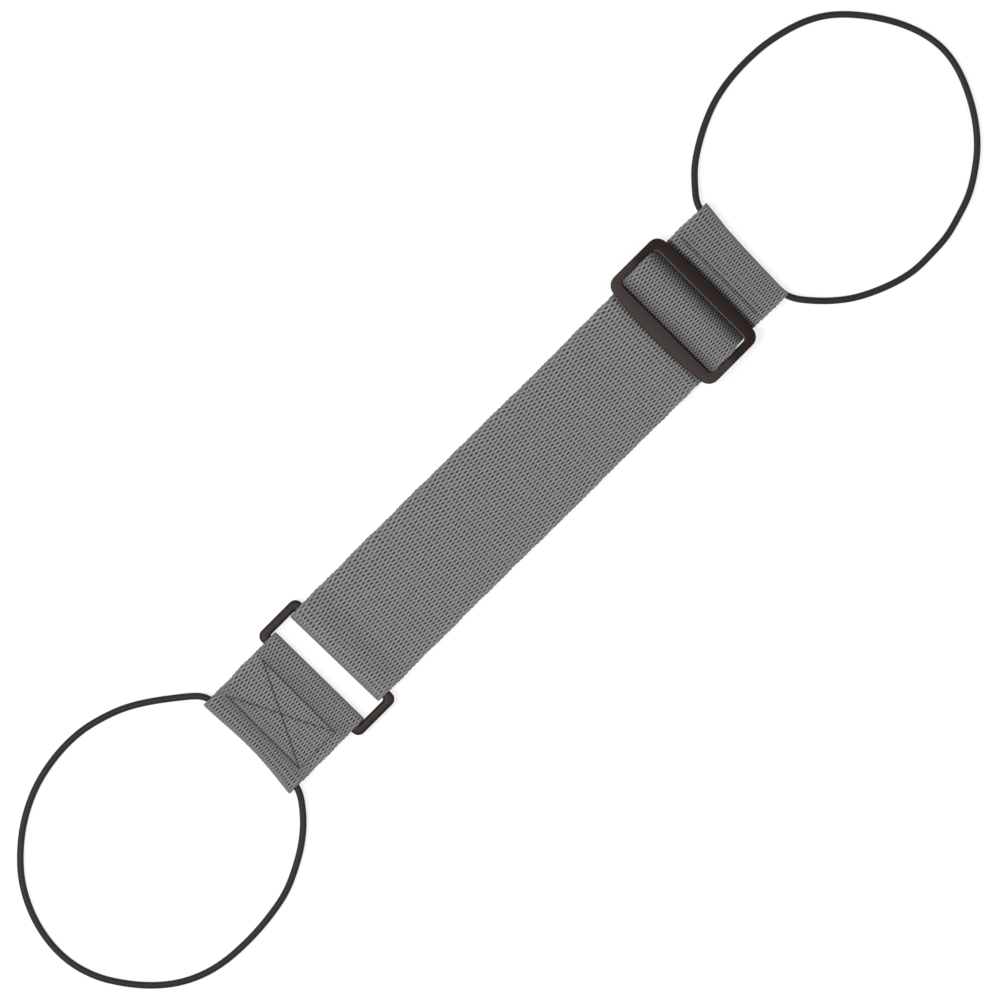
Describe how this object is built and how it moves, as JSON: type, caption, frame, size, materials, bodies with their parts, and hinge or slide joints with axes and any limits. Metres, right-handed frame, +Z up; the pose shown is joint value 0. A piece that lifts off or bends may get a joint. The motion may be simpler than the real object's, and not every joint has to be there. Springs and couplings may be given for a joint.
{
  "type": "adjustable webbing strap",
  "caption": "Adjustable flat webbing strap with a three-bar slider, a rectangular ring and an elastic cord loop at each end.",
  "frame": {"origin": "middle of the webbing and hardware, on the surface that the strap lies on", "axes": "+X along the strap from the ring to the slider, +Y across the webbing, +Z up from the surface"},
  "size_m": [0.5186, 0.1126, 0.0109],
  "materials": {
    "webbing": "coarse woven grey webbing",
    "thread": "dark grey sewing thread",
    "hardware": "dark bronze satin",
    "elastic_cord": "braided cover over an elastic core",
    "ferrule": "crimped sleeve"
  },
  "bodies": {
    "strap": {"strap_turn": "webbing", "strap_under_run": "webbing", "strap_top_run": "webbing"},
    "adjuster": {"slider_frame": "hardware", "strap_sewn_end": "webbing", "strap_bar_loop": "webbing", "bar_loop_seam": "thread", "strap_over_bar": "webbing"},
    "upper_end": {"strap_tail": "webbing", "upper_tunnel_fold": "webbing", "upper_tunnel_seam": "thread"},
    "upper_cord": {"upper_cord": "elastic_cord", "upper_cord_ferrule": "ferrule"},
    "ring": {"rectangular_ring": "hardware"},
    "lower_end": {"short_strap_turn": "webbing", "short_strap_fold": "webbing", "box_stitch": "thread"},
    "lower_cord": {"lower_cord": "elastic_cord", "lower_cord_ferrule": "ferrule"}
  },
  "joints": [
    {"name": "slider_slide", "type": "slide", "parent": "strap", "child": "adjuster", "axis": [-1, 0, 0], "range_m": [0, 0.15], "deforming": ["strap_under_run", "strap_top_run"]},
    {"name": "upper_end_slide", "type": "slide", "parent": "adjuster", "child": "upper_end", "axis": [1, 0, 0], "range_m": [0, 0.3], "deforming": ["strap_tail"]},
    {"name": "upper_cord_swing", "type": "hinge", "parent": "upper_end", "child": "upper_cord", "pos_m": [0.141, 0, 0.0034], "axis": [0, 1, 0], "range_deg": [-150, 150]},
    {"name": "ring_swing", "type": "hinge", "parent": "strap", "child": "ring", "pos_m": [-0.08905, 0, 0.00365], "axis": [0, 1, 0], "range_deg": [-90, 90]},
    {"name": "lower_end_swing", "type": "hinge", "parent": "ring", "child": "lower_end", "pos_m": [-0.10785, 0, 0.00365], "axis": [0, 1, 0], "range_deg": [-90, 90]},
    {"name": "lower_cord_swing", "type": "hinge", "parent": "lower_end", "child": "lower_cord", "pos_m": [-0.141, 0, 0.0034], "axis": [0, 1, 0], "range_deg": [-150, 150]}
  ],
  "couplings": [
    {"joint": "upper_end_slide", "follows": "slider_slide", "ratio": 2}
  ]
}
